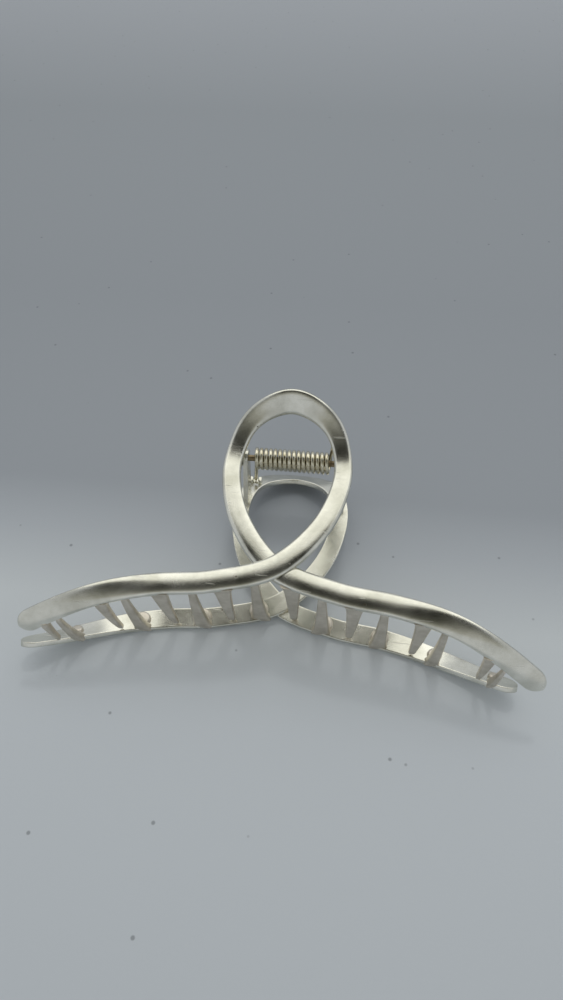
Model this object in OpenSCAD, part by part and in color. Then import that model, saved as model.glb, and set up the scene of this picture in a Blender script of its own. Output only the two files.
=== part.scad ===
// Claw hair clip, cast in zinc alloy: two equal castings, each one crossed ribbon loop
// with eight claws, turn on one pin and are held shut by a coiled torsion spring.
// The second casting is the first one turned half a turn about the line that runs from
// the mouth to the handles through the middle of the pin.
//
// The castings are designed in clip axes: x along the pin, v from the mouth to the
// handles, w from the pin out to the upper casting. resting() then lays the closed clip
// on its lower casting, on both arms and the end of the handle loop.

/* [Ribbon] */
// Width of the ribbon along the arms
arm_w = 4.65; // [3.8:0.05:5.6]
// Width of the ribbon where its two ends cross
cross_w = 4.75; // [3.8:0.05:5.6]
// Width of the ribbon at the sides of the loop
side_w = 4.05; // [3.4:0.05:4.8]
// Width of the ribbon across the end of the loop, where a finger presses
top_w = 5.65; // [4.6:0.05:6.8]
// Thickness of the ribbon at its edges
ribbon_t = 1.4; // [1.1:0.05:1.7]
// Extra height of the domed outer face along its middle
crown = 0.2; // [0:0.05:0.4]
// Bevel along both edges of the outer face
bevel = 0.4; // [0.1:0.05:0.6]
// How far the upper end of the ribbon stands out, and the lower one in, at the crossing
step = 0.45; // [0.2:0.05:0.6]

/* [Plan of one casting] */
// Reach of the arm that crosses on top, from the middle of the clip
over_arm = 51.4; // [42:0.1:61]
// Reach of the arm that passes underneath
under_arm = 54; // [44:0.1:64]
// Distance of the loop's end beyond the pin
loop_end = 4.85; // [3:0.05:6]
// Half of the loop's width, to the middle of the ribbon
loop_half_w = 12.1; // [11:0.05:14.5]
// Distance from the pin to the crossing
jaw_depth = 32.6; // [27:0.1:39]

/* [Side profile of one casting] */
// Distance from the pin out to the middle of the ribbon, along the straight wall
half_gap = 10.8; // [9:0.1:13]
// Angle that the handle has flared out to at the loop's end
flare = 48; // [40:1:60]
// Place along the clip where the flare starts, measured from the pin
flare_from = -9; // [-11:0.1:-7]
// Place where the wall starts to curve in towards the mouth
mouth_from = -38.5; // [-42:0.1:-34]
// Radius of that curve
mouth_r = 8.2; // [7:0.1:24]

/* [Claws] */
// Width of the largest claw at its root
claw_w = 3.7; // [2.8:0.1:4.2]
// Thickness of a claw at its root
claw_t = 1.9; // [1.4:0.05:2.4]
// Gap between a claw's point and the face it closes on
claw_gap = 0.3; // [0.2:0.05:0.6]
// Radius of the round pad behind each claw
pad_r = 1.9; // [1.6:0.05:2.1]
// Height of that pad above the inner face
pad_h = 0.9; // [0.4:0.1:1.4]

/* [Hinge] */
// Diameter of the pin
pin_d = 1.5; // [1.2:0.05:1.8]
// Radial clearance of the pin in the lugs
pin_clearance = 0.05; // [0.02:0.01:0.1]
// Diameter of the pin's peened heads
head_d = 2.4; // [2:0.05:3]
// Thickness of a peened head
head_t = 0.6; // [0.4:0.05:1]
// Thickness of a hinge lug
lug_t = 1.1; // [0.8:0.05:1.3]
// Radius of the lug's eye round the pin
eye_r = 2.1; // [1.7:0.05:2.4]
// Gap between the two lugs that sit side by side
lug_gap = 0.1; // [0.05:0.05:0.3]

/* [Spring] */
// Diameter of the spring's wire
wire_d = 0.95; // [0.6:0.05:1]
// Outer diameter of the coil
coil_d = 5.4; // [4:0.1:6]
// Number of turns
turns = 16; // [10:1:18]
// Length of the coil along the pin
coil_len = 18.8; // [15:0.1:19]
// Free pin beside the coil, where the leg runs down to its anchor
leg_room = 1.3; // [1.3:0.1:2.6]
// Place of the leg's anchor beyond the pin
anchor_v = 0.9; // [0.4:0.1:1.4]
// Height of the anchor above the inner face
anchor_h = 1.5; // [1:0.1:2]

/* [Hidden] */
$fn = 48;

plated = "#B9B8AC";
pin_metal = "#8A6D4A";
spring_metal = "#CFCFC6";

pad_back = 0.35;        // how far a pad sits behind the middle of the arm
arm_steps = 7;          // rings between two points of the ribbon's route
tip_rings = 6;          // extra rings round the end of an arm
tip_end_w = 0.5;        // width left at the very end of an arm
nudge = 0.01;           // half of the length used to take a slope

// Route of one half of the ribbon as [x, v, how much of the step it takes, width]: from
// the loop's end down one side, over the crossing and out along the other side's arm.
function route(arm, side) = [
    [0, loop_end, 0, top_w],
    [loop_half_w * 0.6, loop_end - 2.25, 0, (top_w + side_w) / 2],
    [loop_half_w * 0.92, -2.5, 0, side_w],
    [loop_half_w, -11.5, 0.1 * side, side_w],
    [loop_half_w * 0.7, -0.7 * jaw_depth, 0.6 * side, (side_w + cross_w) / 2],
    [0, -jaw_depth, side, cross_w],
    [-arm * 0.245, -jaw_depth - 4.3, 0.4 * side, arm_w],
    [-arm * 0.47, -jaw_depth - 6, 0, arm_w],
    [-arm * 0.7, -jaw_depth - 9.2, 0, arm_w],
    [-arm, -jaw_depth - 15.4 - 0.6 * (arm - over_arm), 0, arm_w]
];
cross_at = 5;           // index of the crossing in the route
last_at = 9;            // index of the arm's tip

// Smooth curve through the rows of a route, t counted in rows.
function along(rows, t) =
    let (
        n = len(rows),
        i = max(0, min(floor(t), n - 2)),
        u = t - i,
        b = rows[i],
        c = rows[i + 1],
        a = i > 0 ? rows[i - 1] : [-c[0], c[1], c[2], c[3]],
        d = i + 2 < n ? rows[i + 2] : 2 * c - b
    )
    (2 * b + (c - a) * u + (2 * a - 5 * b + 4 * c - d) * u * u
        + (3 * b - 3 * c + d - a) * u * u * u) / 2;

// Height w of the middle of the ribbon at v: wall, flare and mouth curve.
flare_r = (loop_end - flare_from) / sin(flare);
function profile(v) =
    half_gap
    + (v > flare_from ? flare_r - sqrt(flare_r * flare_r - pow(v - flare_from, 2)) : 0)
    - (v < mouth_from ? (mouth_from - v) * (mouth_from - v) / (2 * mouth_r) : 0);
function slope(v) = atan((profile(v + nudge) - profile(v - nudge)) / (2 * nudge));

function unit(a) = a / norm(a);

// Middle of the ribbon at t on one half: x is mirrored where hand is -1.
function spot(rows, hand, t) =
    let (r = along(rows, t))
    [hand * r[0], r[1], profile(r[1]) + step * r[2]];

// Place, direction across the ribbon and outward normal at t.
function frame_at(rows, hand, t) =
    let (
        p = spot(rows, hand, t),
        dir = t == 0 ? [hand, 0, 0]
            : unit(spot(rows, hand, t + nudge) - spot(rows, hand, t - nudge)),
        tilt = slope(p[1]),
        up = [0, -sin(tilt), cos(tilt)],
        across = unit(cross(up, dir))
    )
    [p, across, cross(dir, across), along(rows, t)[3]];

// Width of the ribbon, narrowed to a round end over the last half width of the arm.
function end_w(rows, t, w) =
    let (
        left = (along(rows, t)[0] - rows[last_at][0]) / (w / 2)
    )
    left >= 1 ? w : max(tip_end_w, w * sqrt(max(0, 1 - (1 - left) * (1 - left))));

// Section of the ribbon: flat inside, domed and bevelled outside.
function section(w) =
    let (c = min(bevel, w / 5), top = ribbon_t / 2)
    [
        [-w / 2, -top],
        [w / 2, -top],
        [w / 2, top - c],
        [w / 2 - c, top],
        [0, top + crown * w / arm_w],
        [-w / 2 + c, top],
        [-w / 2, top - c]
    ];

function ring(rows, hand, t) =
    let (f = frame_at(rows, hand, t), w = end_w(rows, t, f[3]))
    [for (q = section(w)) f[0] + q[0] * f[1] + q[1] * f[2]];

// Places along one half of the ribbon, closer together round the arm's tip.
function stations() = concat(
    [for (k = [0 : arm_steps * (last_at - 1)]) k / arm_steps],
    [for (k = [1 : arm_steps - 1]) last_at - 1 + 0.82 * k / (arm_steps - 1)],
    [for (k = [1 : tip_rings]) last_at - 0.18 * pow(1 - k / tip_rings, 2)]
);

// Closed solid through rings of equal length.
module skin(rings) {
    n = len(rings[0]);
    m = len(rings);
    polyhedron(
        points = [for (r = rings) each r],
        faces = concat(
            [[for (i = [0 : n - 1]) i]],
            [for (k = [0 : m - 2], i = [0 : n - 1])
                let (j = (i + 1) % n)
                each [
                    [k * n + i, (k + 1) * n + i, (k + 1) * n + j],
                    [k * n + i, (k + 1) * n + j, k * n + j]
                ]],
            [[for (i = [n - 1 : -1 : 0]) (m - 1) * n + i]]
        )
    );
}

module strand(arm, side, hand) {
    rows = route(arm, side);
    skin([for (t = stations()) ring(rows, hand, t)]);
}

// Place along the arm where it is x away from the middle, found by halving.
function t_at(rows, x, lo = cross_at, hi = last_at, left = 20) =
    left == 0 ? (lo + hi) / 2
    : let (mid = (lo + hi) / 2)
        -along(rows, mid)[0] < x ? t_at(rows, x, mid, hi, left - 1)
            : t_at(rows, x, lo, mid, left - 1);

// Claws as [share of the arm's reach, size]: negative shares are on the arm that crosses on top.
claws = [
    [-0.915, 0.45], [-0.684, 0.75], [-0.451, 0.95], [-0.205, 1],
    [0.08, 1], [0.312, 0.95], [0.567, 0.9], [0.818, 0.65]
];
claw_steps = 8;         // rings along a claw
claw_tip = 0.34;        // width of a claw's point, as a share of its root
claw_lean = 0.5;        // how far a claw's point leans towards the middle
claw_land = 1.3;        // how far in front of the facing arm's middle the point lands

function claw_hand(share) = share < 0 ? 1 : -1;
function own_rows(share) = share < 0 ? route(over_arm, 1) : route(under_arm, -1);
function facing_rows(share) = share < 0 ? route(under_arm, -1) : route(over_arm, 1);
function claw_x(share) = abs(share) * (share < 0 ? over_arm : under_arm);

// Point of a claw, just short of the facing casting's inner face.
function claw_point(share) =
    let (
        x = claw_x(share) - claw_lean,
        facing = along(facing_rows(share), t_at(facing_rows(share), x)),
        v = facing[1] - claw_land,
        face = profile(v) + step * facing[2] - ribbon_t / 2 / cos(slope(v))
    )
    [-claw_hand(share) * x, v, claw_gap - face];

// Root of a claw, inside the mouth edge of its own arm.
function claw_root(share) =
    let (
        hand = claw_hand(share),
        f = frame_at(own_rows(share), hand, t_at(own_rows(share), claw_x(share)))
    )
    f[0] + hand * f[1] * (f[3] - claw_t) / 2;

// Ring of a claw at s from its root to its point: a bevelled oblong across the claw.
function claw_ring(share, size, s) =
    let (
        root = claw_root(share),
        point = claw_point(share),
        bow = [root[0], min(root[1], point[1]) - 0.4, (root[2] + point[2]) / 2],
        at = (1 - s) * (1 - s) * root + 2 * s * (1 - s) * bow + s * s * point,
        dir = unit((1 - s) * (bow - root) + s * (point - bow)),
        ex = unit([1, 0, 0] - dir[0] * dir),
        ey = cross(dir, ex),
        round_end = s > 0.9 ? sqrt(max(0.1, 1 - pow((s - 0.9) / 0.1, 2))) : 1,
        a = claw_w * size * (1 - (1 - claw_tip) * pow(s, 0.9)) / 2 * round_end,
        b = claw_t * (1 - 0.45 * s) / 2 * round_end,
        c = min(a, b) * 0.5
    )
    [for (q = [[a, -b + c], [a, b - c], [a - c, b], [-a + c, b],
               [-a, b - c], [-a, -b + c], [-a + c, -b], [a - c, -b]])
        at + q[0] * ex + q[1] * ey];

module claw(share, size) {
    skin([for (k = [0 : claw_steps]) claw_ring(share, size, 1 - pow(1 - k / claw_steps, 1.3))]);
}

// Round pad on the inner face behind a claw.
module pad(share, size) {
    f = frame_at(own_rows(share), claw_hand(share), t_at(own_rows(share), claw_x(share)));
    tilt = slope(f[0][1]);
    translate(f[0] - claw_hand(share) * pad_back * f[1])
        rotate([tilt, 0, 0])
            translate([0, 0, -ribbon_t / 2 - pad_h])
                cylinder(r = pad_r * max(0.6, size), h = ribbon_t / 2 + pad_h);
}

// Plate across the pin, drawn in the v-w plane and centred on x.
module plate(x, thickness) {
    translate([x - thickness / 2, 0, 0])
        rotate([90, 0, 90])
            linear_extrude(thickness)
                children();
}

lug_foot = [-8.2, -2.2];            // where a lug meets the ribbon, measured from the pin
lug_inner_x = coil_len / 2 + leg_room + lug_t / 2;
lug_outer_x = lug_inner_x + lug_t + lug_gap;
anchor_x = coil_len / 2 + leg_room * 0.42;
anchor_end_w = profile(anchor_v) - ribbon_t / 2 / cos(slope(anchor_v)) - anchor_h;
slot_w = wire_d + 0.25;             // width of the slot that holds the spring's leg
slot_depth = 1;
bore_r = pin_d / 2 + pin_clearance;

// Hinge lug: from a foot on the side of the loop to an eye round the pin.
module lug(x) {
    foot_mid = (lug_foot[0] + lug_foot[1]) / 2;
    cheek = eye_r * unit([half_gap, -foot_mid]);
    difference() {
        plate(x, lug_t) {
            circle(eye_r);
            polygon(concat(
                [for (k = [0 : 6])
                    let (v = lug_foot[0] + (lug_foot[1] - lug_foot[0]) * k / 6) [v, profile(v)]],
                [cheek, -cheek]
            ));
        }
        translate([x - lug_t, 0, 0])
            rotate([0, 90, 0])
                cylinder(r = bore_r, h = 2 * lug_t);
    }
}

// Forked block that holds the end of one leg of the spring.
module anchor() {
    difference() {
        plate(anchor_x, slot_w + 2)
            polygon([
                [anchor_v - 1, anchor_end_w],
                [anchor_v + 1, anchor_end_w],
                [anchor_v + 1, profile(anchor_v + 1)],
                [anchor_v, profile(anchor_v)],
                [anchor_v - 1, profile(anchor_v - 1)]
            ]);
        translate([anchor_x - slot_w / 2, anchor_v - 2, anchor_end_w - 1])
            cube([slot_w, 4, slot_depth + 1]);
    }
}

// One casting in clip axes: the upper one as it stands.
module casting() {
    strand(over_arm, 1, 1);
    strand(under_arm, -1, -1);
    for (c = claws) {
        claw(c[0], c[1]);
        pad(c[0], c[1]);
    }
    lug(lug_inner_x);
    lug(-lug_outer_x);
    anchor();
}

// Turns a casting half a turn about the line from the mouth to the handles.
module facing() {
    rotate([0, 180, 0])
        children();
}

// Points of the ribbon from one place to another along its route, as [v, w].
function vw_points(from, to) = [
    for (rows = [route(over_arm, 1), route(under_arm, -1)], t = stations())
        if (t >= from && t <= to)
            for (p = ring(rows, 1, t)) [p[1], p[2]]
];
function drop(p, a) = p[0] * sin(a) - p[1] * cos(a);
function lowest(points, a) =
    let (h = [for (p = points) drop(p, a)])
    points[search(min(h), h)[0]];

// Angle at which the lower casting rests on its arms and the end of its loop.
function lean(a = 0, left = 6) =
    left == 0 ? a
    : let (
        handle = lowest(vw_points(0, 1), a),
        arm = lowest(vw_points(cross_at, last_at), a)
    )
    lean(atan((handle[1] - arm[1]) / (handle[0] - arm[0])), left - 1);

rest_a = lean();
every_point = vw_points(0, last_at);
rest_z = -min([for (p = every_point) drop(p, rest_a)]);
every_y = [for (p = every_point, s = [-1, 1]) p[0] * cos(rest_a) + s * p[1] * sin(rest_a)];
rest_y = -(min(every_y) + max(every_y)) / 2;

// Lays the closed clip down, with the origin under the middle of its box.
module resting() {
    translate([0, rest_y, rest_z])
        rotate([rest_a, 0, 0])
            children();
}

module upper_jaw() {
    color(plated)
        resting()
            casting();
}

module lower_jaw() {
    color(plated)
        resting()
            facing()
                casting();
}

head_x = lug_outer_x + lug_t / 2 + 0.05;

module hinge_pin() {
    color(pin_metal)
        resting()
            rotate([0, 90, 0]) {
                cylinder(d = pin_d, h = 2 * head_x, center = true);
                for (side = [-1, 1])
                    translate([0, 0, side * (head_x + head_t / 2)])
                        cylinder(d = head_d, h = head_t, center = true);
            }
}

coil_r = (coil_d - wire_d) / 2;
turn_steps = 14;        // rings in one turn of the coil
leg_end = [-anchor_x, anchor_v, -anchor_end_w - slot_depth + wire_d / 2 + 0.1];

function coil_spot(a) = [
    -coil_len / 2 + wire_d / 2 + (coil_len - wire_d) * a / (360 * turns),
    coil_r * cos(a),
    coil_r * sin(a)
];
function mirror_spot(p) = [-p[0], p[1], -p[2]];

// Middle of the wire: a leg, the coil and the other leg.
spring_route = concat(
    [leg_end, leg_end + 0.5 * (coil_spot(0) - leg_end)],
    [for (k = [0 : turns * turn_steps]) coil_spot(360 * k / turn_steps)],
    [mirror_spot(leg_end + 0.5 * (coil_spot(0) - leg_end)), mirror_spot(leg_end)]
);

// Ring of the wire round point k, kept upright by the direction out from the pin.
function wire_ring(k) =
    let (
        n = len(spring_route),
        p = spring_route[k],
        dir = unit(spring_route[min(k + 1, n - 1)] - spring_route[max(k - 1, 0)]),
        ex = unit([1, 0, 0] - dir[0] * dir),
        ey = cross(dir, ex)
    )
    [for (i = [0 : 7]) p + wire_d / 2 * (cos(45 * i) * ex + sin(45 * i) * ey)];

module torsion_spring() {
    color(spring_metal)
        resting()
            skin([for (k = [0 : len(spring_route) - 1]) wire_ring(k)]);
}

lower_jaw();
upper_jaw();
hinge_pin();
torsion_spring();
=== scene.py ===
import logging
import math
from dataclasses import dataclass, field
from enum import Enum

import bmesh
import bpy
import numpy as np
from mathutils import Euler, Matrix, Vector


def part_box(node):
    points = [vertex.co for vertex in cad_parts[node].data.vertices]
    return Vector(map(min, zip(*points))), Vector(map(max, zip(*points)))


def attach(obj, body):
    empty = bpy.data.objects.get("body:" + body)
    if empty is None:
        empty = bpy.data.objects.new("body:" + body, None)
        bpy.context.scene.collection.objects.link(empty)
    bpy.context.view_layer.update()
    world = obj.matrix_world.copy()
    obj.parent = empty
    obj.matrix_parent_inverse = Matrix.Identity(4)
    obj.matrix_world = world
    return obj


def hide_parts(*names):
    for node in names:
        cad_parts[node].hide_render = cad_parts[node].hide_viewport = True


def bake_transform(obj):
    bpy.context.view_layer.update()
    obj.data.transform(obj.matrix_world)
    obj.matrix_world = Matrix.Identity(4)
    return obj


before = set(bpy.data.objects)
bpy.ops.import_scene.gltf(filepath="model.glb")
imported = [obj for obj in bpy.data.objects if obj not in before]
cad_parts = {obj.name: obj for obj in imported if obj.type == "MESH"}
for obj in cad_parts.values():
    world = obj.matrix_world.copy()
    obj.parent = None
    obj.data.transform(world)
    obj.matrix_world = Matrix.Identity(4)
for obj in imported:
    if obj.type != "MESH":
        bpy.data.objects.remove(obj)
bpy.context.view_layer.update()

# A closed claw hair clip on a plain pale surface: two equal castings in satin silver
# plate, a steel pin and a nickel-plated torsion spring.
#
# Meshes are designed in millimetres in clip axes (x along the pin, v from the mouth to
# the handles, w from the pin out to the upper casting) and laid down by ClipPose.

log = logging.getLogger("clip")
MM = 0.001


# ---------------------------------------------------------------- small helpers


def linear(hex_colour: str) -> tuple[float, float, float, float]:
    """Turns an sRGB hex colour into linear light.

    Args:
        hex_colour: a colour such as "#C8C6BA".

    Returns:
        Red, green, blue and alpha for a node socket.
    """
    parts = [int(hex_colour[i:i + 2], 16) / 255 for i in (1, 3, 5)]
    curve = [c / 12.92 if c <= 0.04045 else ((c + 0.055) / 1.055) ** 2.4 for c in parts]
    return (curve[0], curve[1], curve[2], 1.0)


def per_metre(size_mm: float) -> float:
    """Returns the texture scale at which one cell of a pattern is size_mm long."""
    return 1 / (size_mm * MM)


def unit(a: np.ndarray) -> np.ndarray:
    """Returns vectors scaled to length one, along the last axis."""
    return a / np.linalg.norm(a, axis=-1, keepdims=True)


def add_node(
    tree: bpy.types.NodeTree,
    kind: str,
    settings: dict[str, object] | None = None,
    inputs: dict[str | int, object] | None = None,
) -> bpy.types.Node:
    """Adds a shader node with its settings, and values or links on its inputs.

    Args:
        tree: the node tree to add to.
        kind: the node's type, such as "ShaderNodeTexNoise".
        settings: properties of the node itself.
        inputs: values, or sockets of other nodes, for inputs by name or number.

    Returns:
        The new node.
    """
    node = tree.nodes.new(kind)
    for key, value in (settings or {}).items():
        setattr(node, key, value)
    for key, value in (inputs or {}).items():
        if isinstance(value, bpy.types.NodeSocket):
            tree.links.new(value, node.inputs[key])
        else:
            node.inputs[key].default_value = value
    return node


def add_ramp(
    tree: bpy.types.NodeTree,
    factor: bpy.types.NodeSocket,
    stops: list[tuple[float, str]],
) -> bpy.types.NodeSocket:
    """Adds a colour ramp.

    Args:
        tree: the node tree to add to.
        factor: the socket that drives the ramp.
        stops: position from 0 to 1 and sRGB hex colour of each stop.

    Returns:
        The ramp's colour socket.
    """
    ramp = add_node(tree, "ShaderNodeValToRGB", inputs={"Fac": factor})
    elements = ramp.color_ramp.elements
    while len(elements) < len(stops):
        elements.new(0.5)
    for element, (place, colour) in zip(elements, stops):
        element.position = place
        element.color = linear(colour)
    return ramp.outputs["Color"]


# ---------------------------------------------------------------- mesh building


@dataclass
class Shell:
    """Vertices and faces of closed shells, gathered piece by piece, in millimetres."""

    verts: list[np.ndarray] = field(default_factory=list)
    faces: list[tuple[int, ...]] = field(default_factory=list)
    slots: list[int] = field(default_factory=list)
    count: int = 0

    def add(self, verts: np.ndarray, faces: list[tuple[int, ...]], slot: int = 0) -> None:
        """Adds one closed shell.

        Args:
            verts: its vertices, one row each.
            faces: its faces, as indices into verts.
            slot: the material slot of its faces.
        """
        self.verts.append(verts)
        self.faces += [tuple(i + self.count for i in f) for f in faces]
        self.slots += [slot] * len(faces)
        self.count += len(verts)

    def sweep(self, rings: np.ndarray, slot: int = 0) -> None:
        """Adds a closed skin through rings of equal length, its ends closed by fans.

        Args:
            rings: array of shape (rings, points, 3).
            slot: the material slot of its faces.
        """
        m, n, _ = rings.shape
        verts = np.vstack([rings.reshape(-1, 3), rings[0].mean(0), rings[-1].mean(0)])
        first, last = m * n, m * n + 1
        faces: list[tuple[int, ...]] = []
        for i in range(n):
            j = (i + 1) % n
            for k in range(m - 1):
                faces.append((k * n + i, k * n + j, (k + 1) * n + j, (k + 1) * n + i))
            faces.append((first, j, i))
            faces.append((last, (m - 1) * n + i, (m - 1) * n + j))
        self.add(verts, faces, slot)

    def torus_of_rings(self, rings: np.ndarray, slot: int = 0) -> None:
        """Adds a skin whose last ring joins its first, such as a plate with a hole.

        Args:
            rings: array of shape (rings, points, 3), every ring closed.
            slot: the material slot of its faces.
        """
        m, n, _ = rings.shape
        faces = [
            (k * n + i, k * n + (i + 1) % n, (k + 1) % m * n + (i + 1) % n, (k + 1) % m * n + i)
            for k in range(m)
            for i in range(n)
        ]
        self.add(rings.reshape(-1, 3), faces, slot)

    def make(
        self,
        name: str,
        place: "ClipPose",
        materials: list[bpy.types.Material],
        sharp_deg: float,
        turned: bool = False,
    ) -> bpy.types.Object:
        """Makes a Blender object of everything gathered so far.

        Args:
            name: the object's name.
            place: where the clip lies.
            materials: one material for each slot in use.
            sharp_deg: edges that turn by more than this stay sharp.
            turned: True for the lower casting, half a turn about the v axis.

        Returns:
            The new object, linked to the scene.
        """
        mesh = bpy.data.meshes.new(name)
        points = np.vstack(self.verts)
        if turned:
            points = points * np.array([-1.0, 1.0, -1.0])
        mesh.from_pydata((place.lay(points) * MM).tolist(), [], self.faces)
        for material in materials:
            mesh.materials.append(material)
        mesh.polygons.foreach_set("material_index", self.slots)
        mesh.polygons.foreach_set("use_smooth", [True] * len(self.faces))
        mesh.update()
        mesh.validate()
        make_outward(mesh)
        mesh.set_sharp_from_angle(angle=math.radians(sharp_deg))
        thing = bpy.data.objects.new(name, mesh)
        bpy.context.scene.collection.objects.link(thing)
        return thing


def make_outward(mesh: bpy.types.Mesh) -> None:
    """Turns every closed shell of a mesh so that its faces look outward.

    Args:
        mesh: the mesh to correct.
    """
    work = bmesh.new()
    work.from_mesh(mesh)
    bmesh.ops.recalc_face_normals(work, faces=work.faces)
    work.to_mesh(mesh)
    work.free()


@dataclass(frozen=True)
class ClipPose:
    """How the closed clip lies: tilted about the pin, on its arms and its loop's end."""

    lean_deg: float = 9.45398
    pin_y: float = 20.02
    pin_z: float = 17.9979

    def lay(self, points: np.ndarray) -> np.ndarray:
        """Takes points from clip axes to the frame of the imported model.

        Args:
            points: array of shape (n, 3) in millimetres, as x, v, w.

        Returns:
            The points as x, y, z in millimetres.
        """
        a = math.radians(self.lean_deg)
        y = self.pin_y + points[:, 1] * math.cos(a) - points[:, 2] * math.sin(a)
        z = self.pin_z + points[:, 1] * math.sin(a) + points[:, 2] * math.cos(a)
        return np.column_stack([points[:, 0], y, z])


# ---------------------------------------------------------------- finishes


def principled(name: str) -> tuple[bpy.types.Material, bpy.types.NodeTree, bpy.types.Node]:
    """Makes an empty node material with a principled shader.

    Args:
        name: the material's name.

    Returns:
        The material, its node tree and its principled shader.
    """
    material = bpy.data.materials.new(name)
    material.use_nodes = True
    tree = material.node_tree
    tree.nodes.clear()
    shader = add_node(tree, "ShaderNodeBsdfPrincipled")
    add_node(tree, "ShaderNodeOutputMaterial", inputs={"Surface": shader.outputs["BSDF"]})
    return material, tree, shader


# Marks on every plated metal. A run of scratches is its turn in radians and its stretch;
# an edge is the two values of a pattern between which a mark fades in.
SCRATCH_RUNS = ((0.5, 0.09), (-0.9, 0.06))
SCRATCH_SPACING_MM = 0.9
SCRATCH_EDGE = (0.70, 0.73)
SCRATCH_ROUGHENING = 0.16
NICK_SPACING_MM = 2.6
NICK_EDGE = (0.10, 0.06)
NICK_ROUGHENING = 0.25
NICK_DEPTH = 2.0


@dataclass(frozen=True)
class PlatedMetal:
    """Plated or drawn metal: patchy tone, a fine grain, hairline scratches and nicks."""

    name: str
    light: str
    dark: str
    rough: float
    rough_spread: float
    patch_mm: float
    grain_mm: float
    grain_height_mm: float
    scratch_depth: float
    nick_share: float
    worn: str

    def build(self) -> bpy.types.Material:
        """Builds the material.

        Returns:
            The finished material.
        """
        material, tree, shader = principled(self.name)
        where = add_node(tree, "ShaderNodeTexCoord").outputs["Object"]
        patch = add_node(tree, "ShaderNodeTexNoise", inputs={
            "Vector": where, "Scale": per_metre(self.patch_mm), "Detail": 5.0,
            "Roughness": 0.6})
        grain = add_node(tree, "ShaderNodeTexNoise", inputs={
            "Vector": where, "Scale": per_metre(self.grain_mm), "Detail": 3.0,
            "Roughness": 0.65})
        scratches = self.scratches(tree, where)
        nicks = self.nicks(tree, where)
        tone = add_ramp(tree, patch.outputs["Fac"], [(0.32, self.dark), (0.62, self.light)])
        worn = add_node(tree, "ShaderNodeMix", {"data_type": "RGBA"}, {
            0: nicks, 6: tone, 7: linear(self.worn)})
        tree.links.new(worn.outputs[2], shader.inputs["Base Color"])
        shader.inputs["Metallic"].default_value = 1.0
        rough = add_node(tree, "ShaderNodeMapRange", inputs={
            "Value": patch.outputs["Fac"], "From Min": 0.3, "From Max": 0.7,
            "To Min": self.rough - self.rough_spread, "To Max": self.rough + self.rough_spread})
        rougher = add_node(tree, "ShaderNodeMath", {"operation": "MULTIPLY_ADD"}, {
            0: scratches, 1: SCRATCH_ROUGHENING, 2: rough.outputs["Result"]})
        roughest = add_node(tree, "ShaderNodeMath", {"operation": "MULTIPLY_ADD"}, {
            0: nicks, 1: NICK_ROUGHENING, 2: rougher.outputs[0]})
        tree.links.new(roughest.outputs[0], shader.inputs["Roughness"])
        relief = add_node(tree, "ShaderNodeMath", {"operation": "MULTIPLY_ADD"}, {
            0: scratches, 1: -self.scratch_depth, 2: grain.outputs["Fac"]})
        pitted = add_node(tree, "ShaderNodeMath", {"operation": "MULTIPLY_ADD"}, {
            0: nicks, 1: -NICK_DEPTH, 2: relief.outputs[0]})
        bump = add_node(tree, "ShaderNodeBump", inputs={
            "Strength": 1.0, "Distance": self.grain_height_mm * MM,
            "Height": pitted.outputs[0]})
        tree.links.new(bump.outputs["Normal"], shader.inputs["Normal"])
        return material

    def scratches(
        self, tree: bpy.types.NodeTree, where: bpy.types.NodeSocket
    ) -> bpy.types.NodeSocket:
        """Adds hairline scratches: long thin grooves of a stretched noise, two ways.

        Args:
            tree: the node tree to add to.
            where: the coordinates socket.

        Returns:
            A socket that is 1 on a scratch and 0 beside it.
        """
        found = None
        for turn, stretch in SCRATCH_RUNS:
            turned = add_node(tree, "ShaderNodeMapping", inputs={
                "Vector": where, "Rotation": (0.3, turn, turn * 1.7),
                "Scale": (stretch, 1.0, 1.0)})
            noise = add_node(tree, "ShaderNodeTexNoise", inputs={
                "Vector": turned.outputs["Vector"], "Scale": per_metre(SCRATCH_SPACING_MM),
                "Detail": 2.0})
            line = add_node(tree, "ShaderNodeMapRange", inputs={
                "Value": noise.outputs["Fac"], "From Min": SCRATCH_EDGE[0],
                "From Max": SCRATCH_EDGE[1]})
            if found is None:
                found = line.outputs["Result"]
            else:
                found = add_node(tree, "ShaderNodeMath", {"operation": "MAXIMUM"}, {
                    0: found, 1: line.outputs["Result"]}).outputs[0]
        return found

    def nicks(
        self, tree: bpy.types.NodeTree, where: bpy.types.NodeSocket
    ) -> bpy.types.NodeSocket:
        """Adds sparse small nicks and casting pits, about a third of a millimetre wide.

        Args:
            tree: the node tree to add to.
            where: the coordinates socket.

        Returns:
            A socket that is 1 in a nick and 0 outside it.
        """
        cells = add_node(tree, "ShaderNodeTexVoronoi", inputs={
            "Vector": where, "Scale": per_metre(NICK_SPACING_MM), "Randomness": 1.0})
        near = add_node(tree, "ShaderNodeMapRange", inputs={
            "Value": cells.outputs["Distance"], "From Min": NICK_EDGE[0],
            "From Max": NICK_EDGE[1]})
        chance = add_node(tree, "ShaderNodeSeparateColor", inputs={
            "Color": cells.outputs["Color"]})
        picked = add_node(tree, "ShaderNodeMath", {"operation": "LESS_THAN"}, {
            0: chance.outputs[0], 1: self.nick_share})
        both = add_node(tree, "ShaderNodeMath", {"operation": "MULTIPLY"}, {
            0: near.outputs["Result"], 1: picked.outputs[0]})
        return both.outputs[0]


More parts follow.
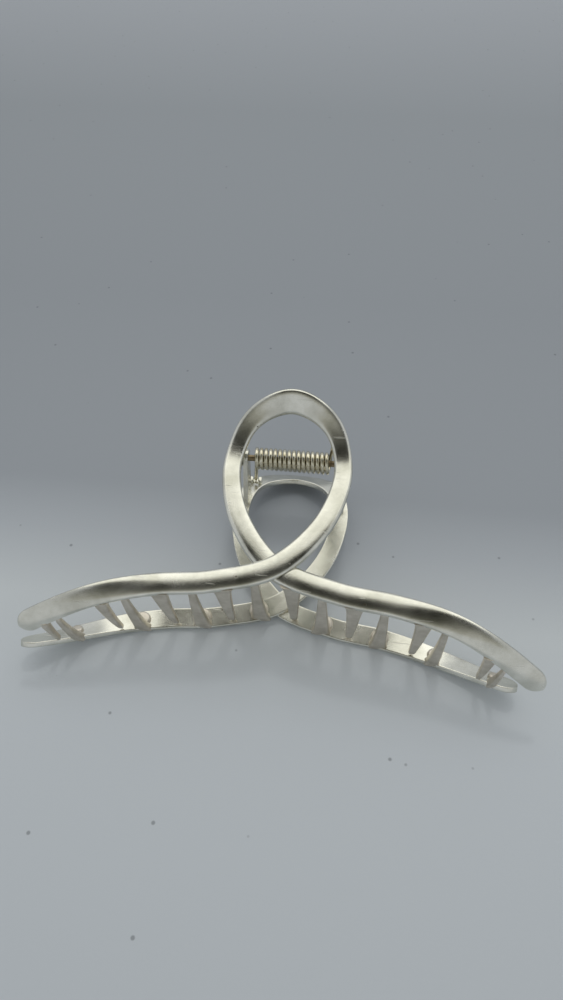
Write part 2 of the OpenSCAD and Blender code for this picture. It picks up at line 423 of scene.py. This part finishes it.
# Zinc alloy, die-cast, tumbled and silver-plated to a satin: broad soft highlights with a
# warm grey body, slightly patchy where the plate is thin.
SATIN_SILVER_PLATE = PlatedMetal(
    name="satin_silver_plate_on_die_cast_zinc", light="#EBEAE0", dark="#CCCBBF",
    rough=0.24, rough_spread=0.05, patch_mm=7.0, grain_mm=0.3, grain_height_mm=0.006,
    scratch_depth=0.9, nick_share=0.16, worn="#6F6B5E")

# The same plate on the claws and pads, which the tumbling media don't reach: duller and
# browner, close to taupe.
DULL_SILVER_PLATE = PlatedMetal(
    name="dull_silver_plate_on_die_cast_zinc", light="#E0D9CD", dark="#C9C1B2",
    rough=0.42, rough_spread=0.05, patch_mm=3.0, grain_mm=0.3, grain_height_mm=0.010,
    scratch_depth=0.4, nick_share=0.12, worn="#7E7767")

# Low-carbon steel pin, drawn and tinted by heat and handling: a brown-gold metal.
BROWNED_STEEL = PlatedMetal(
    name="drawn_steel_browned", light="#A6977B", dark="#77674F",
    rough=0.34, rough_spread=0.06, patch_mm=1.2, grain_mm=0.2, grain_height_mm=0.004,
    scratch_depth=0.5, nick_share=0.15, worn="#4A3826")

# Music wire, nickel-plated before winding: bright, slightly yellow, hardly marked.
NICKEL_WIRE = PlatedMetal(
    name="nickel_plated_spring_wire", light="#E4DFCC", dark="#C6BEA4",
    rough=0.15, rough_spread=0.03, patch_mm=2.0, grain_mm=0.2, grain_height_mm=0.003,
    scratch_depth=0.5, nick_share=0.06, worn="#6B604A")


@dataclass(frozen=True)
class MattCard:
    """Smooth matt card: pale blue-grey with a few specks of dust, and painted light and shade
    along it: lighter in front, darker just behind the clip, lighter again far back.
    """

    name: str = "pale_matt_card"
    # Place from front to back in millimetres, and the card's colour there: painted light and shade
    # on the card, lighter in front, a band of painted shade just behind the clip and under its
    # loop, lighter again far back.
    painted_light_bands: tuple[tuple[float, str], ...] = (
        (-110.0, "#C3C8CB"), (-40.0, "#C8CDD0"), (-12.0, "#C9CECF"), (8.0, "#AEB3B7"),
        (24.0, "#999EA3"), (110.0, "#94999E"), (260.0, "#9A9FA3"), (430.0, "#B6BABE"))
    rough: float = 0.6
    speck_spacing_mm: float = 9.0
    speck_edge: tuple[float, float] = (0.055, 0.03)
    speck_share: float = 0.55
    speck_colour: str = "#5A5D60"
    fibre_mm: float = 0.7
    fibre_height_mm: float = 0.03
    fibre_strength: float = 0.5

    def build(self) -> bpy.types.Material:
        """Builds the material.

        Returns:
            The finished material.
        """
        material, tree, shader = principled(self.name)
        where = add_node(tree, "ShaderNodeTexCoord").outputs["Object"]
        split = add_node(tree, "ShaderNodeSeparateXYZ", inputs={"Vector": where})
        front, back = self.painted_light_bands[0][0], self.painted_light_bands[-1][0]
        along = add_node(tree, "ShaderNodeMapRange", inputs={
            "Value": split.outputs["Y"], "From Min": front * MM, "From Max": back * MM})
        stops = [((y - front) / (back - front), colour) for y, colour in self.painted_light_bands]
        # The ramp paints light falloff and shade along the card, front to back, over its pale
        # blue-grey.
        tone = add_ramp(tree, along.outputs["Result"], stops)
        cells = add_node(tree, "ShaderNodeTexVoronoi", inputs={
            "Vector": where, "Scale": per_metre(self.speck_spacing_mm)})
        speck = add_node(tree, "ShaderNodeMapRange", inputs={
            "Value": cells.outputs["Distance"], "From Min": self.speck_edge[0],
            "From Max": self.speck_edge[1], "To Max": self.speck_share})
        fibre = add_node(tree, "ShaderNodeTexNoise", inputs={
            "Vector": where, "Scale": per_metre(self.fibre_mm), "Detail": 4.0})
        dusty = add_node(tree, "ShaderNodeMix", {"data_type": "RGBA"}, {
            0: speck.outputs["Result"], 6: tone, 7: linear(self.speck_colour)})
        tree.links.new(dusty.outputs[2], shader.inputs["Base Color"])
        shader.inputs["Roughness"].default_value = self.rough
        bump = add_node(tree, "ShaderNodeBump", inputs={
            "Strength": self.fibre_strength, "Distance": self.fibre_height_mm * MM,
            "Height": fibre.outputs["Fac"]})
        tree.links.new(bump.outputs["Normal"], shader.inputs["Normal"])
        return material


class Slot(Enum):
    """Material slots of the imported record."""

    CASTING = "plated_zinc"
    PIN = "pin_steel"
    SPRING = "spring_steel"


# ---------------------------------------------------------------- the ribbon


# Rows of a strand's route: where it crosses the other strand, and its tip.
CROSS_ROW = 5
TIP_ROW = 9

# How a strand is skinned. NUDGE is the half step that slopes and directions are taken over.
NUDGE = 0.01
BODY_RINGS = 150
TIP_RINGS = 18
BODY_STOP = 0.2
TIP_SPAN = 0.19
TIP_LEAST = 0.012
TIP_THINNING = 0.25
DOME_ROWS = (1.5, 4.0, 5.5)
DOME_POWERS = (5.0, 3.4, 2.2)


@dataclass(frozen=True)
class RibbonShape:
    """Sizes of the ribbon that each casting is bent from, in millimetres."""

    arm_w: float = 4.65
    cross_w: float = 4.75
    side_w: float = 4.05
    top_w: float = 5.65
    thickness: float = 1.4
    crown: float = 0.2
    wall_top: float = 0.22
    corner: float = 0.22
    # Lines of points on the flat inner face, in from its edge.
    rim: float = 0.4
    rim_step: float = 0.12
    inner_line: float = 0.4
    step: float = 0.45
    over_arm: float = 51.4
    under_arm: float = 54.0
    loop_end: float = 4.85
    loop_half_w: float = 12.1
    jaw_depth: float = 32.6
    half_gap: float = 10.8
    flare_deg: float = 48.0
    flare_from: float = -9.0
    mouth_from: float = -38.5
    mouth_r: float = 8.2

    def profile(self, v: np.ndarray) -> np.ndarray:
        """Returns the height w of the ribbon's middle at v: wall, flare and mouth curve."""
        flare_r = (self.loop_end - self.flare_from) / math.sin(math.radians(self.flare_deg))
        flare = flare_r - np.sqrt(flare_r**2 - np.clip(v - self.flare_from, 0, None) ** 2)
        curl = np.clip(self.mouth_from - v, 0, None) ** 2 / (2 * self.mouth_r)
        return self.half_gap + flare - curl

    def slope(self, v: np.ndarray) -> np.ndarray:
        """Returns the slope angle of the profile at v, in radians."""
        return np.arctan((self.profile(v + NUDGE) - self.profile(v - NUDGE)) / (2 * NUDGE))

    def route(self, arm: float, side: float) -> np.ndarray:
        """Gives the points of one strand of the ribbon.

        Args:
            arm: reach of its arm.
            side: 1 for the strand that crosses on top, -1 for the one underneath.

        Returns:
            Rows of x, v, share of the step and width, from the loop's end to the tip.
        """
        d = self.jaw_depth
        return np.array([
            [0, self.loop_end, 0, self.top_w],
            [self.loop_half_w * 0.6, self.loop_end - 2.25, 0, (self.top_w + self.side_w) / 2],
            [self.loop_half_w * 0.92, -2.5, 0, self.side_w],
            [self.loop_half_w, -11.5, 0.1 * side, self.side_w],
            [self.loop_half_w * 0.7, -0.7 * d, 0.6 * side, (self.side_w + self.cross_w) / 2],
            [0, -d, side, self.cross_w],
            [-arm * 0.245, -d - 4.3, 0.4 * side, self.arm_w],
            [-arm * 0.47, -d - 6, 0, self.arm_w],
            [-arm * 0.7, -d - 9.2, 0, self.arm_w],
            [-arm, -d - 15.4 - 0.6 * (arm - self.over_arm), 0, self.arm_w],
        ])


def along(rows: np.ndarray, t: np.ndarray) -> np.ndarray:
    """Follows a smooth curve through rows.

    Args:
        rows: the rows of a route.
        t: places counted in rows.

    Returns:
        One interpolated row for each place.
    """
    before = rows[1] * np.array([-1, 1, 1, 1])
    padded = np.vstack([before, rows, 2 * rows[-1] - rows[-2]])
    i = np.clip(np.floor(t).astype(int), 0, len(rows) - 2)
    u = (t - i)[:, None]
    a, b, c, d = (padded[i + k] for k in range(4))
    return (2 * b + (c - a) * u + (2 * a - 5 * b + 4 * c - d) * u**2
            + (3 * b - 3 * c + d - a) * u**3) / 2


@dataclass
class Strand:
    """One strand of a casting's ribbon, from the loop's end to an arm's tip."""

    shape: RibbonShape
    arm: float
    side: float
    hand: float

    def __post_init__(self) -> None:
        """Works out the strand's route."""
        self.rows = self.shape.route(self.arm, self.side)

    def spots(self, t: np.ndarray) -> np.ndarray:
        """Returns the middle of the ribbon at each place t."""
        r = along(self.rows, t)
        w = self.shape.profile(r[:, 1]) + self.shape.step * r[:, 2]
        return np.column_stack([self.hand * r[:, 0], r[:, 1], w])

    def frames(self, t: np.ndarray) -> tuple[np.ndarray, ...]:
        """Gives the ribbon's frame at each place.

        Args:
            t: places counted in rows.

        Returns:
            Middles, directions across, outward normals and widths.
        """
        p = self.spots(t)
        run = unit(self.spots(t + NUDGE) - self.spots(t - NUDGE))
        tilt = self.shape.slope(p[:, 1])
        up = np.column_stack([np.zeros_like(tilt), -np.sin(tilt), np.cos(tilt)])
        across = unit(np.cross(up, run))
        return p, across, np.cross(run, across), along(self.rows, t)[:, 3]

    def t_at(self, x: float) -> float:
        """Returns the place along the arm that is x away from the middle."""
        t = np.linspace(CROSS_ROW, TIP_ROW, 800)
        return float(np.interp(x, -along(self.rows, t)[:, 0], t))

    def end_share(self, t: np.ndarray, width: np.ndarray) -> np.ndarray:
        """Returns the share of the full width left at t: below 1 near the round tip."""
        left = (along(self.rows, t)[:, 0] - self.rows[TIP_ROW][0]) / (width / 2)
        return np.sqrt(np.clip(1 - np.clip(1 - left, 0, 1) ** 2, TIP_LEAST, 1))

    def stations(self) -> np.ndarray:
        """Returns the places of the rings, closer together round the tip."""
        body = np.linspace(0, TIP_ROW - BODY_STOP, BODY_RINGS)
        tip = TIP_ROW - TIP_SPAN * (1 - np.sin(np.linspace(0, math.pi / 2, TIP_RINGS)))
        return np.concatenate([body, tip])


@dataclass
class Claw:
    """One claw: its place as a share of an arm's reach, and its size."""

    share: float
    size: float
    width: float = 3.7
    thickness: float = 1.9
    gap: float = 0.3
    tip: float = 0.42
    lean: float = 0.5
    land: float = 1.3
    flare: float = 0.32
    flare_length: float = 0.06
    bow_back: float = 0.4
    thinning: float = 0.45
    point_from: float = 0.93
    point_length: float = 0.07
    square: tuple[float, float] = (0.45, 0.55)

    def spine(self, own: Strand, facing: Strand, s: np.ndarray) -> tuple[np.ndarray, np.ndarray]:
        """Gives the claw's curved middle line.

        Args:
            own: the strand it grows from.
            facing: the facing casting's strand, in its own axes.
            s: places from 0 at the root to 1 at the point.

        Returns:
            Middles and directions.
        """
        reach = abs(self.share) * own.arm
        p, across, _, width = own.frames(np.array([own.t_at(reach)]))
        root = (p + own.hand * across * (width - self.thickness)[:, None] / 2)[0]
        x = reach - self.lean
        r = along(facing.rows, np.array([facing.t_at(x)]))[0]
        v = np.array([r[1] - self.land])
        shape = own.shape
        face = shape.profile(v) + shape.step * r[2] - shape.thickness / 2 / np.cos(shape.slope(v))
        point = np.array([-own.hand * x, v[0], self.gap - face[0]])
        bow_v = min(root[1], point[1]) - self.bow_back
        bow = np.array([root[0], bow_v, (root[2] + point[2]) / 2])
        s = s[:, None]
        at = (1 - s) ** 2 * root + 2 * s * (1 - s) * bow + s**2 * point
        return at, unit((1 - s) * (bow - root) + s * (point - bow))

    def rings(self, own: Strand, facing: Strand) -> np.ndarray:
        """Gives the claw's skin: a rounded oblong that flares at its root.

        Args:
            own: the strand it grows from.
            facing: the facing casting's strand.

        Returns:
            Array of rings for Shell.sweep.
        """
        s = 1 - (1 - np.linspace(0, 1, 34)) ** 1.5
        s[:6] = np.linspace(0, s[6], 7)[:6]
        at, run = self.spine(own, facing, s)
        ex = unit(np.array([1.0, 0, 0]) - run[:, :1] * run)
        ey = np.cross(run, ex)
        past = np.clip(s - self.point_from, 0, None) / self.point_length
        close = np.sqrt(np.clip(1 - past ** 2, 0.02, 1))
        wide = self.width * self.size * (1 - (1 - self.tip) * s**0.9) / 2 * close
        wide = wide * (1 + self.flare * np.exp(-s / self.flare_length))
        deep = self.thickness * (1 - self.thinning * s) / 2 * close
        turn = np.linspace(0, 2 * math.pi, 24, endpoint=False) + math.pi / 24
        c, n = np.cos(turn), np.sin(turn)
        cx = np.sign(c) * np.abs(c) ** self.square[0]
        cy = np.sign(n) * np.abs(n) ** self.square[1]
        return (at[:, None] + (wide[:, None] * cx)[..., None] * ex[:, None]
                + (deep[:, None] * cy)[..., None] * ey[:, None])


@dataclass
class Casting:
    """One casting: crossed ribbon loop, eight claws with pads, two lugs and an anchor."""

    shape: RibbonShape = field(default_factory=RibbonShape)
    claws: tuple[tuple[float, float], ...] = (
        (-0.915, 0.45), (-0.684, 0.75), (-0.451, 0.95), (-0.205, 1.0),
        (0.08, 1.0), (0.312, 0.95), (0.567, 0.9), (0.818, 0.65))
    pad_r: float = 2.05
    pad_h: float = 0.85
    pad_back: float = 0.1
    pin_d: float = 1.5
    clearance: float = 0.05
    eye_r: float = 2.1
    lug_t: float = 1.1
    lug_gap: float = 0.1
    lug_foot: tuple[float, float] = (-8.2, -2.2)
    coil_len: float = 18.8
    leg_room: float = 1.3
    wire_d: float = 0.95
    anchor_v: float = 0.9
    anchor_h: float = 1.5
    slot_depth: float = 1.0
    slot_room: float = 0.25
    peg_half: float = 0.5
    peg_depth: float = 0.95
    peg_square: float = 0.6
    lug_bevel: float = 0.14
    bore_bevel: float = 0.08

    def __post_init__(self) -> None:
        """Works out the two strands and the places of the lugs."""
        self.over = Strand(self.shape, self.shape.over_arm, 1.0, 1.0)
        self.under = Strand(self.shape, self.shape.under_arm, -1.0, -1.0)
        self.lug_inner_x = self.coil_len / 2 + self.leg_room + self.lug_t / 2
        self.lug_outer_x = self.lug_inner_x + self.lug_t + self.lug_gap
        self.anchor_x = self.coil_len / 2 + self.leg_room * 0.42
        v = np.array([self.anchor_v])
        inner = self.shape.profile(v) - self.shape.thickness / 2 / np.cos(self.shape.slope(v))
        self.anchor_w = float(inner[0]) - self.anchor_h

    def section(
        self, width: np.ndarray, flat: np.ndarray
    ) -> tuple[np.ndarray, np.ndarray]:
        """Gives the ribbon's section: domed outside, flat inside, its lower corners round.

        Args:
            width: the ribbon's width at each ring.
            flat: how flat the dome is at each ring: 2 is an ellipse, more is flatter.

        Returns:
            Distances across and out, one row of points for each ring.
        """
        sh = self.shape
        top = sh.thickness / 2
        h = width[:, None] / 2
        share = np.clip(h / (sh.arm_w / 2), 0, 1)
        r = sh.corner * share
        inner_x = [h - sh.rim * share - sh.rim_step * share, h * sh.inner_line,
                   -h * sh.inner_line, -(h - sh.rim * share - sh.rim_step * share)]
        arc = np.radians([0, 30, 60, 90])
        right = [(h - r + r * math.cos(a), -top + r - r * math.sin(a)) for a in arc]
        rim_r = (h - sh.rim * share, -top + 0 * h)
        low = [(x, -top + 0 * h) for x in inner_x]
        rim_l = (-(h - sh.rim * share), -top + 0 * h)
        left = [(-h + r - r * math.cos(a), -top + r - r * math.sin(a)) for a in arc[::-1]]
        u = np.cos(np.linspace(math.pi, 0, 23))
        rise = top + sh.crown * h * 2 / sh.arm_w - sh.wall_top
        dome = [(h * x, sh.wall_top + rise * (1 - abs(x) ** flat[:, None]) ** 0.5) for x in u]
        points = [*right, rim_r, *low, rim_l, *left, *dome]
        xs = np.hstack([np.broadcast_to(p[0], h.shape) for p in points])
        ys = np.hstack([np.broadcast_to(p[1], h.shape) for p in points])
        return xs, ys

    def strand_rings(self, strand: Strand) -> np.ndarray:
        """Gives the rings of one strand.

        Args:
            strand: the strand to skin.

        Returns:
            Array of rings, from the loop's end to the tip.
        """
        t = strand.stations()
        p, across, normal, width = strand.frames(t)
        share = strand.end_share(t, width)
        flat = np.interp(t, DOME_ROWS, DOME_POWERS)
        xs, ys = self.section(width * share, flat)
        thin = 1 - TIP_THINNING * (1 - share) ** 2
        return (p[:, None] + strand.hand * xs[..., None] * across[:, None]
                + (ys * thin[:, None])[..., None] * normal[:, None])

    def ribbon(self, shell: Shell) -> None:
        """Adds the whole ribbon, from one tip over the loop to the other tip.

        Args:
            shell: the shell to add to.
        """
        over = self.strand_rings(self.over)
        under = self.strand_rings(self.under)
        shell.sweep(np.vstack([over[:0:-1], under]))

    def pad(self, shell: Shell, claw: Claw, own: Strand) -> None:
        """Adds the round pad behind a claw, with a soft shoulder.

        Args:
            shell: the shell to add to.
            claw: the claw it belongs to.
            own: the strand that carries both.
        """
        t = np.array([own.t_at(abs(claw.share) * own.arm)])
        p, across, normal, _ = own.frames(t)
        run = np.cross(across, normal)
        r = self.pad_r * max(0.6, claw.size)
        low = self.shape.thickness / 2
        outline = [(0.6, 0.0), (r, 0.05), (r + 0.12, low - 0.05), (r + 0.04, low + 0.08),
                   (r - 0.04, low + 0.3), (r - 0.1, low + self.pad_h - 0.32),
                   (r - 0.2, low + self.pad_h - 0.12), (r - 0.42, low + self.pad_h - 0.02),
                   (r * 0.45, low + self.pad_h), (0.1, low + self.pad_h)]
        a = np.linspace(0, 2 * math.pi, 40, endpoint=False)
        circle = np.cos(a)[:, None] * across[0] + np.sin(a)[:, None] * run[0]
        middle = p[0] - own.hand * self.pad_back * across[0]
        rings = np.array([middle + rr * circle - h * normal[0] for rr, h in outline])
        shell.sweep(rings, 1)

    def lug(self, shell: Shell, x: float) -> None:
        """Adds a hinge lug: a plate from the side of the loop to an eye round the pin.

        Args:
            shell: the shell to add to.
            x: the middle of the plate along the pin.
        """
        v = np.linspace(*self.lug_foot, 14)
        foot = np.column_stack([v, self.shape.profile(v)])
        lean = math.atan2(self.shape.half_gap, sum(self.lug_foot) / 2)
        arc = np.linspace(lean - math.pi / 2, lean - 1.5 * math.pi, 40)
        eye = self.eye_r * np.column_stack([np.cos(arc), np.sin(arc)])
        outer = np.vstack([
            self.side(foot[-1], eye[0]), eye, self.side(eye[-1], foot[0]), foot])
        angle = np.arctan2(outer[:, 1], outer[:, 0])
        bore = (self.pin_d / 2 + self.clearance) * np.column_stack([np.cos(angle), np.sin(angle)])
        inward = -unit(outer)
        b, k, half = self.lug_bevel, self.bore_bevel, self.lug_t / 2
        layers = [
            (bore, half - k), (bore - k * inward, half), (outer + b * inward, half),
            (outer + 0.3 * b * inward, half - 0.3 * b), (outer, half - b),
            (outer, -half + b), (outer + 0.3 * b * inward, -half + 0.3 * b),
            (outer + b * inward, -half), (bore - k * inward, -half), (bore, -half + k)]
        rings = np.array([np.column_stack([np.full(len(q), x + dx), q]) for q, dx in layers])
        shell.torus_of_rings(rings, 0)

    def side(self, a: np.ndarray, b: np.ndarray) -> np.ndarray:
        """Returns points between a and b, both left out, along a lug's straight side."""
        s = np.linspace(0, 1, 12)[1:-1, None]
        return a + s * (b - a)

    def anchor(self, shell: Shell) -> None:
        """Adds the two pegs, on one foot, that hold a leg of the spring between them.

        Args:
            shell: the shell to add to.
        """
        slot = self.wire_d + self.slot_room
        floor = self.anchor_w + self.slot_depth
        high = float(self.shape.profile(np.array([self.anchor_v]))[0])
        for side in (-1, 1):
            x = self.anchor_x + side * (slot / 2 + self.peg_half)
            self.peg(shell, x, self.peg_half, self.anchor_w, high)
        self.peg(shell, self.anchor_x, slot / 2 + 0.3, floor, high)

    def peg(self, shell: Shell, x: float, half: float, low: float, high: float) -> None:
        """Adds a rounded post hanging from the inner face.

        Args:
            shell: the shell to add to.
            x: its middle along the pin.
            half: half of its width along the pin.
            low: its free end.
            high: its root, inside the ribbon.
        """
        a = np.linspace(0, 2 * math.pi, 24, endpoint=False)
        cx = np.sign(np.cos(a)) * np.abs(np.cos(a)) ** self.peg_square
        cy = np.sign(np.sin(a)) * np.abs(np.sin(a)) ** self.peg_square
        rings = [
            np.column_stack([x + half * k * cx, self.anchor_v + self.peg_depth * k * cy,
                             np.full(len(a), low + dw)])
            for dw, k in ((0, 0.55), (0.06, 0.8), (0.2, 0.95), (0.4, 1.0), (high - low, 1.0))]
        shell.sweep(np.array(rings), 0)

    def build(self) -> Shell:
        """Builds the whole casting.

        Returns:
            Its closed shells, in the upper casting's place.
        """
        shell = Shell()
        self.ribbon(shell)
        for share, size in self.claws:
            claw = Claw(share, size)
            own, facing = (self.over, self.under) if share < 0 else (self.under, self.over)
            shell.sweep(claw.rings(own, facing), 1)
            self.pad(shell, claw, own)
        self.lug(shell, self.lug_inner_x)
        self.lug(shell, -self.lug_outer_x)
        self.anchor(shell)
        return shell


@dataclass
class HingePin:
    """The pin: a drawn wire through all four lugs, with a peened dome at each end."""

    casting: Casting
    head_d: float = 2.4
    head_t: float = 0.6
    end_play: float = 0.05

    def build(self) -> Shell:
        """Builds the pin as a turned shape along x.

        Returns:
            Its closed shell.
        """
        c = self.casting
        end = c.lug_outer_x + c.lug_t / 2 + self.end_play
        r, h, t = c.pin_d / 2, self.head_d / 2, self.head_t
        half = [(0.0, r), (end * 0.5, r), (end, r), (end + 0.01, h * 0.9), (end + 0.12 * t, h),
                (end + 0.35 * t, h * 0.985), (end + 0.6 * t, h * 0.86), (end + 0.82 * t, h * 0.62),
                (end + 0.95 * t, h * 0.34), (end + t, 0.05)]
        outline = [(-x, rr) for x, rr in half[:0:-1]] + half
        a = np.linspace(0, 2 * math.pi, 48, endpoint=False)
        shell = Shell()
        shell.sweep(np.array([
            np.column_stack([np.full(len(a), x), rr * np.cos(a), rr * np.sin(a)])
            for x, rr in outline]))
        return shell


@dataclass
class TorsionSpring:
    """The spring: a close coil round the pin, with a straight leg at each end."""

    casting: Casting
    coil_d: float = 5.4
    turns: int = 16
    rings_per_turn: int = 36
    wire_sides: int = 14
    leave_by: tuple[float, float, float] = (-0.25, 0.0, -1.5)

    def spine(self) -> np.ndarray:
        """Gives the middle line of the wire.

        Returns:
            Points from the lower leg's end to the upper leg's end.
        """
        c = self.casting
        r = (self.coil_d - c.wire_d) / 2
        a = np.linspace(0, 2 * math.pi * self.turns, self.rings_per_turn * self.turns + 1)
        x = -c.coil_len / 2 + c.wire_d / 2 + (c.coil_len - c.wire_d) * a / a[-1]
        coil = np.column_stack([x, r * np.cos(a), r * np.sin(a)])
        end = np.array([-c.anchor_x, c.anchor_v, -c.anchor_w - c.slot_depth + c.wire_d / 2 + 0.1])
        # The leg leaves the coil along its tangent and turns into a straight run.
        leave = coil[0] + np.array(self.leave_by)
        s = np.linspace(0, 1, 26)[:-1, None]
        mid = coil[0] + 0.5 * (end - coil[0])
        leg = (1 - s) ** 3 * end + 3 * s * (1 - s) ** 2 * mid + 3 * s**2 * (1 - s) * leave \
            + s**3 * coil[0]
        other = leg[::-1] * np.array([-1, 1, -1])
        return np.vstack([leg, coil, other])

    def build(self) -> Shell:
        """Builds the wire's skin.

        Returns:
            Its closed shell.
        """
        p = self.spine()
        run = unit(np.gradient(p, axis=0))
        ex = unit(np.array([1.0, 0, 0]) - run[:, :1] * run)
        ey = np.cross(run, ex)
        a = np.linspace(0, 2 * math.pi, self.wire_sides, endpoint=False)
        r = np.full(len(p), self.casting.wire_d / 2)
        r[[0, -1]] *= 0.7
        rings = (p[:, None] + (r[:, None] * np.cos(a))[..., None] * ex[:, None]
                 + (r[:, None] * np.sin(a))[..., None] * ey[:, None])
        shell = Shell()
        shell.sweep(rings)
        return shell


# ---------------------------------------------------------------- the whole clip


@dataclass
class HairClaw:
    """The whole clip: builds each piece, dresses it, and ties the castings and the pin to their
    CAD bodies.
    """

    pose: ClipPose = field(default_factory=ClipPose)
    casting: Casting = field(default_factory=Casting)

    def build(self) -> list[bpy.types.Object]:
        """Builds every piece.

        Returns:
            The pieces' objects.
        """
        satin, dull = SATIN_SILVER_PLATE.build(), DULL_SILVER_PLATE.build()
        lower = self.casting.build().make("lower_casting", self.pose, [satin, dull], 40, True)
        upper = self.casting.build().make("upper_casting", self.pose, [satin, dull], 40)
        pin = HingePin(self.casting).build().make("pin", self.pose, [BROWNED_STEEL.build()], 50)
        spring = TorsionSpring(self.casting).build().make(
            "spring", self.pose, [NICKEL_WIRE.build()], 80)
        for thing, node, body, slot in (
            (lower, "lower_jaw", "lower", Slot.CASTING),
            (upper, "upper_jaw", "upper", Slot.CASTING),
            (pin, "hinge_pin", "lower", Slot.PIN),
        ):
            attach(thing, body)
            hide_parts(node)
            self.report(thing, node)
        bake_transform(spring)
        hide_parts("torsion_spring")
        self.report(spring, "torsion_spring")
        return [lower, upper, pin, spring]

    def report(self, thing: bpy.types.Object, node: str) -> None:
        """Logs a piece and how far it stands out of its CAD node's box.

        Args:
            thing: the piece.
            node: the CAD node it stands for.
        """
        low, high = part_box(node)
        co = np.array([v.co for v in thing.data.vertices])
        below, above = np.array(low) - co.min(0), co.max(0) - np.array(high)
        out = max(float(below.max()), float(above.max()))
        log.info("%s: %d faces, %.2f mm outside %s", thing.name, len(thing.data.polygons),
                 out / MM, node)


# ---------------------------------------------------------------- studio


# Where the lights and the cards face: just in front of the pin.
AIM = Vector((0, -5 * MM, 15 * MM))


@dataclass
class Studio:
    """A pale card surface, soft lights above and behind, and the camera."""

    floor_size: float = 3.0
    camera_mm: tuple[float, float, float] = (12.341, -88.471, 139.927)
    camera_deg: tuple[float, float, float] = (38.5728, 1.0556, 6.7570)
    lens_mm: float = 24.497
    room: str = "#BCBFC2"
    room_strength: float = 1.06

    def floor(self) -> None:
        """Lays the card that the clip stands on."""
        h = self.floor_size / 2
        mesh = bpy.data.meshes.new("card")
        mesh.from_pydata([(-h, -h, 0), (h, -h, 0), (h, h, 0), (-h, h, 0)], [], [(0, 1, 2, 3)])
        mesh.materials.append(MattCard().build())
        card = bpy.data.objects.new("card", mesh)
        bpy.context.scene.collection.objects.link(card)

    def area(
        self, name: str, place: tuple[float, float, float], size: tuple[float, float],
        radiance: float, colour: str,
    ) -> None:
        """Adds a rectangular soft light aimed at the clip.

        Args:
            name: the light's name.
            place: its middle, in millimetres.
            size: its width and height, in millimetres.
            radiance: how bright its face is.
            colour: its sRGB hex colour.
        """
        data = bpy.data.lights.new(name, "AREA")
        data.shape = "RECTANGLE"
        data.size, data.size_y = size[0] * MM, size[1] * MM
        data.energy = radiance * math.pi * data.size * data.size_y
        data.color = linear(colour)[:3]
        lamp = bpy.data.objects.new(name, data)
        lamp.location = Vector(place) * MM
        aim = AIM - lamp.location
        lamp.rotation_euler = aim.to_track_quat("-Z", "Y").to_euler()
        lamp.visible_camera = False
        lamp.visible_glossy = False
        bpy.context.scene.collection.objects.link(lamp)

    def flag(
        self, name: str, place: tuple[float, float, float], size: tuple[float, float],
        tones: list[tuple[float, str]], glow: float = 1.0,
    ) -> None:
        """Hangs a card that shows only in reflections.

        Args:
            name: the card's name.
            place: its middle, in millimetres.
            size: its width and height, in millimetres.
            tones: stops of its colour from its lower to its upper edge.
            glow: how bright its face is.
        """
        w, h = size[0] / 2 * MM, size[1] / 2 * MM
        mesh = bpy.data.meshes.new(name)
        mesh.from_pydata([(-w, -h, 0), (w, -h, 0), (w, h, 0), (-w, h, 0)], [], [(0, 1, 2, 3)])
        material = bpy.data.materials.new(name)
        material.use_nodes = True
        tree = material.node_tree
        tree.nodes.clear()
        where = add_node(tree, "ShaderNodeTexCoord").outputs["Generated"]
        rise = add_node(tree, "ShaderNodeSeparateXYZ", inputs={"Vector": where}).outputs["Y"]
        face = add_node(tree, "ShaderNodeEmission", inputs={
            "Color": add_ramp(tree, rise, tones), "Strength": glow})
        add_node(tree, "ShaderNodeOutputMaterial", inputs={"Surface": face.outputs["Emission"]})
        mesh.materials.append(material)
        card = bpy.data.objects.new(name, mesh)
        card.location = Vector(place) * MM
        aim = AIM - card.location
        card.rotation_euler = aim.to_track_quat("-Z", "Y").to_euler()
        card.visible_camera = False
        card.visible_diffuse = False
        card.visible_shadow = False
        card.visible_transmission = False
        bpy.context.scene.collection.objects.link(card)

    def room_light(self) -> None:
        """Fills the room with a soft even light."""
        world = bpy.data.worlds.new("room")
        world.use_nodes = True
        tree = world.node_tree
        tree.nodes.clear()
        back = add_node(tree, "ShaderNodeBackground", inputs={
            "Color": linear(self.room), "Strength": self.room_strength})
        add_node(tree, "ShaderNodeOutputWorld", inputs={"Surface": back.outputs["Background"]})
        bpy.context.scene.world = world

    def camera(self) -> None:
        """Sets up the camera, looking down at the mouth of the clip."""
        data = bpy.data.cameras.new("camera")
        data.sensor_fit = "VERTICAL"
        data.sensor_height = 36.0
        data.lens = self.lens_mm
        data.clip_start = 0.005
        cam = bpy.data.objects.new("camera", data)
        cam.location = Vector(self.camera_mm) * MM
        cam.rotation_euler = Euler([math.radians(a) for a in self.camera_deg], "XYZ")
        bpy.context.scene.collection.objects.link(cam)
        bpy.context.scene.camera = cam

    def build(self) -> None:
        """Builds the whole studio."""
        bpy.context.scene.view_settings.view_transform = "Standard"
        self.floor()
        self.room_light()
        self.area("overhead_softbox", (0, 110, 470), (520, 380), 0.4, "#FFFEFA")
        self.area("window", (30, 200, 560), (50, 50), 26.0, "#FFFFFF")
        self.flag("white_card", (0, 240, 420), (760, 430),
                  [(0.0, "#FFFFFA"), (1.0, "#E2E2DA")], 1.4)
        self.flag("dark_card", (0, -126, 363), (420, 444),
                  [(0.0, "#B4B4AC"), (0.4, "#55554E"), (0.68, "#14140F"), (1.0, "#14140F")])
        self.camera()


def main() -> None:
    """Builds the studio and the clip."""
    logging.basicConfig(level=logging.INFO, format="%(name)s: %(message)s")
    Studio().build()
    for piece in HairClaw().build():
        log.info("built %s", piece.name)


if __name__ == "__main__":
    main()
